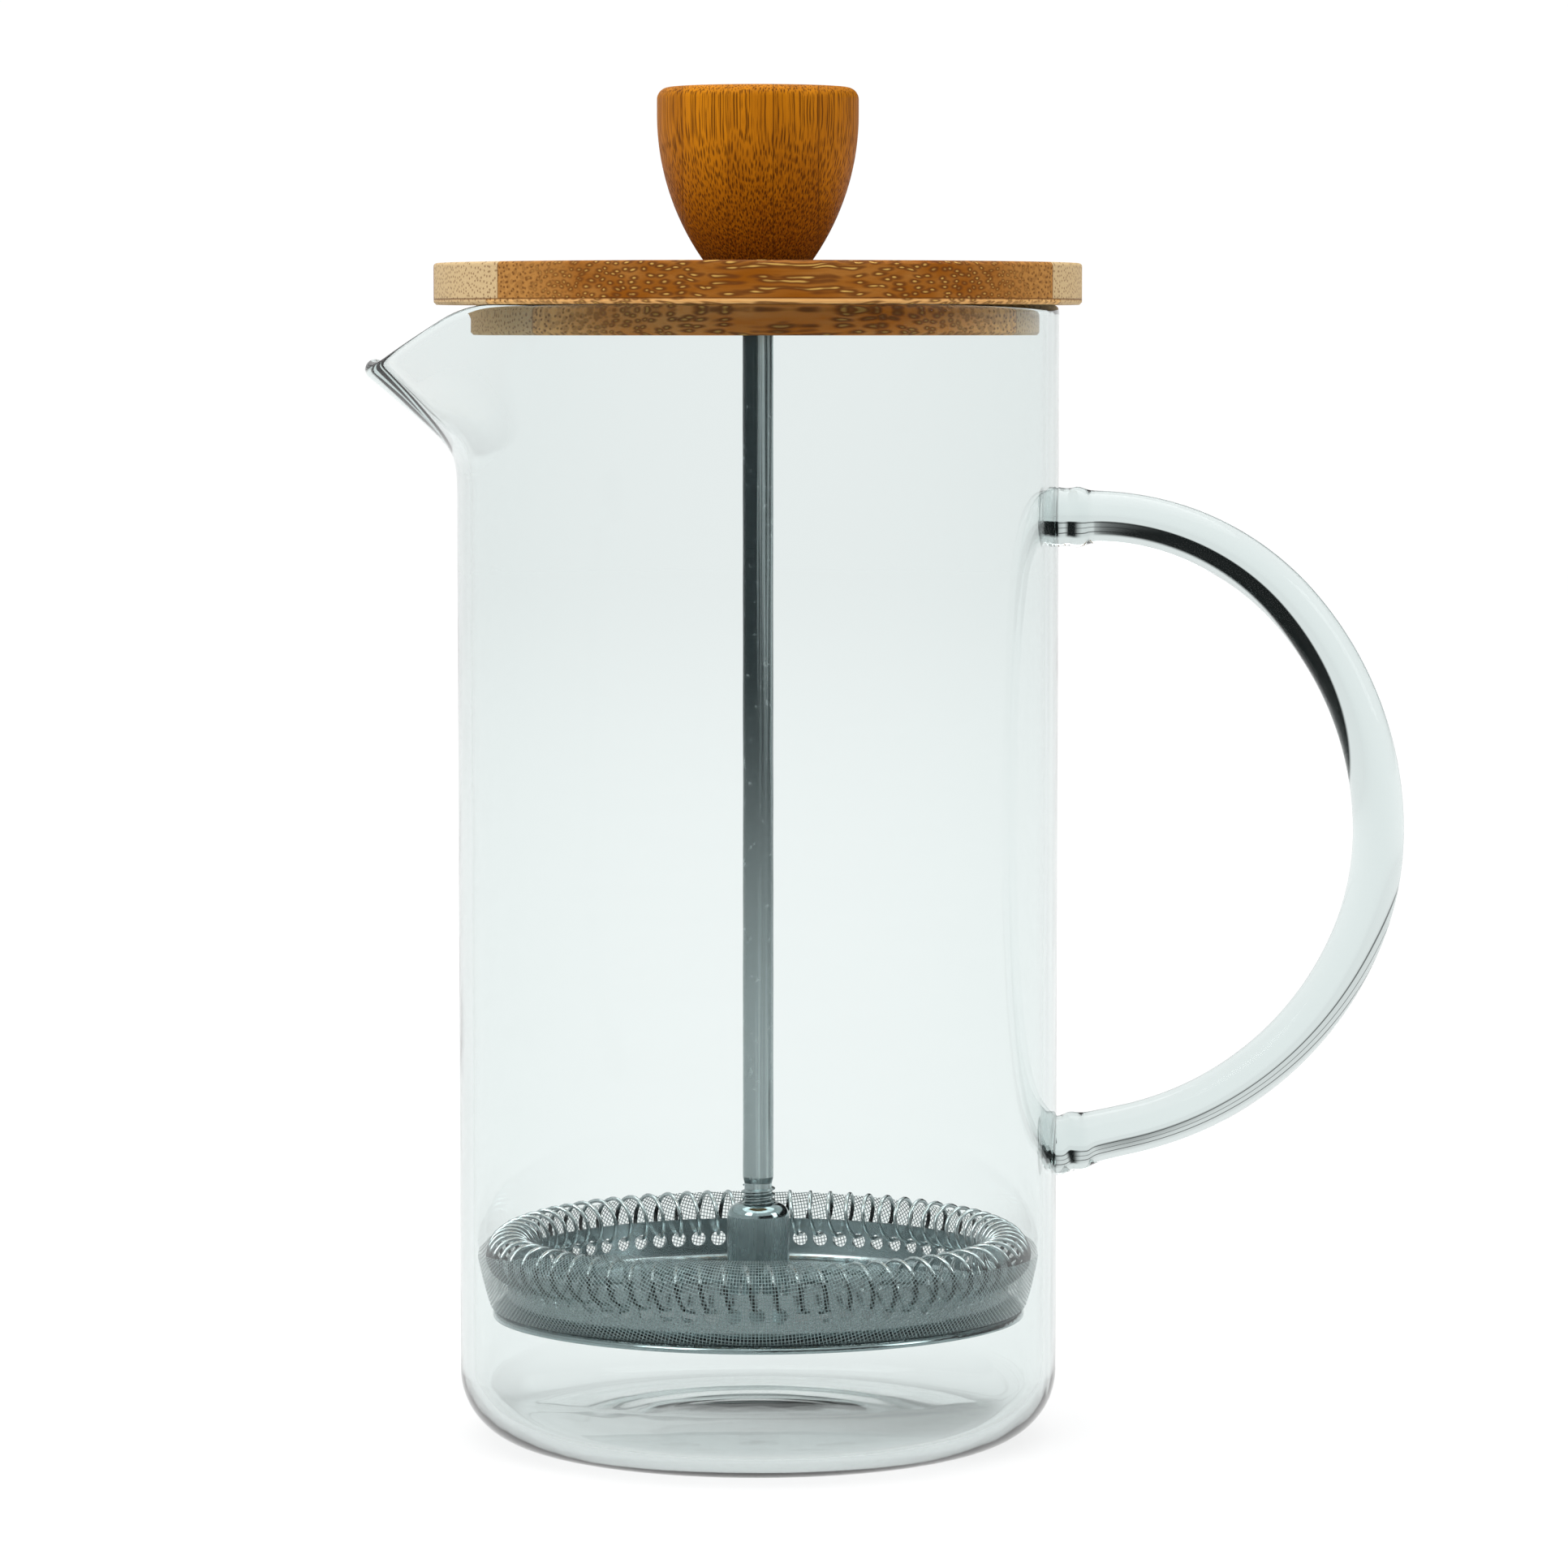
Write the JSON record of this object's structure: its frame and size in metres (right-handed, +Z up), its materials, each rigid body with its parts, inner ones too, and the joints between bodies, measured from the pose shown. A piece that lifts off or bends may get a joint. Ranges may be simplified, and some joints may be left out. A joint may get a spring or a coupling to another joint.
{
  "type": "glass plunger tea press",
  "caption": "Tall glass beaker with pouring lip and bent glass handle, closed by a bamboo lid through which a steel plunger with a sprung mesh filter slides.",
  "frame": {"origin": "centre of the flat base, on the beaker's axis", "axes": "+Z up along the beaker's axis, +X towards the handle, -X towards the pouring lip"},
  "size_m": [0.1217, 0.0752, 0.1576],
  "materials": {
    "glass": "clear fire-polished borosilicate glass",
    "bamboo": "sanded and oiled laminated bamboo",
    "steel": "drawn and pressed stainless steel",
    "wire": "bright drawn stainless wire",
    "mesh": "fine woven stainless wire mesh",
    "brass": "turned brass"
  },
  "bodies": {
    "beaker": {"beaker": "glass", "handle": "glass"},
    "lid": {"lid_top_ply": "bamboo", "lid_plug_ply": "bamboo", "guide_bush": "steel"},
    "plunger": {"knob": "bamboo", "knob_insert": "brass", "rod": "steel", "hub": "steel", "spring_plate": "steel", "coil_spring": "wire", "filter_mesh": "mesh", "cross_plate": "steel", "base_nut": "steel"}
  },
  "joints": [
    {"name": "lid_lift", "type": "slide", "parent": "beaker", "child": "lid", "axis": [0, 0, 1], "range_m": [0, 0.135]},
    {"name": "plunger_slide", "type": "slide", "parent": "lid", "child": "plunger", "axis": [0, 0, 1], "range_m": [0, 0.101]}
  ]
}
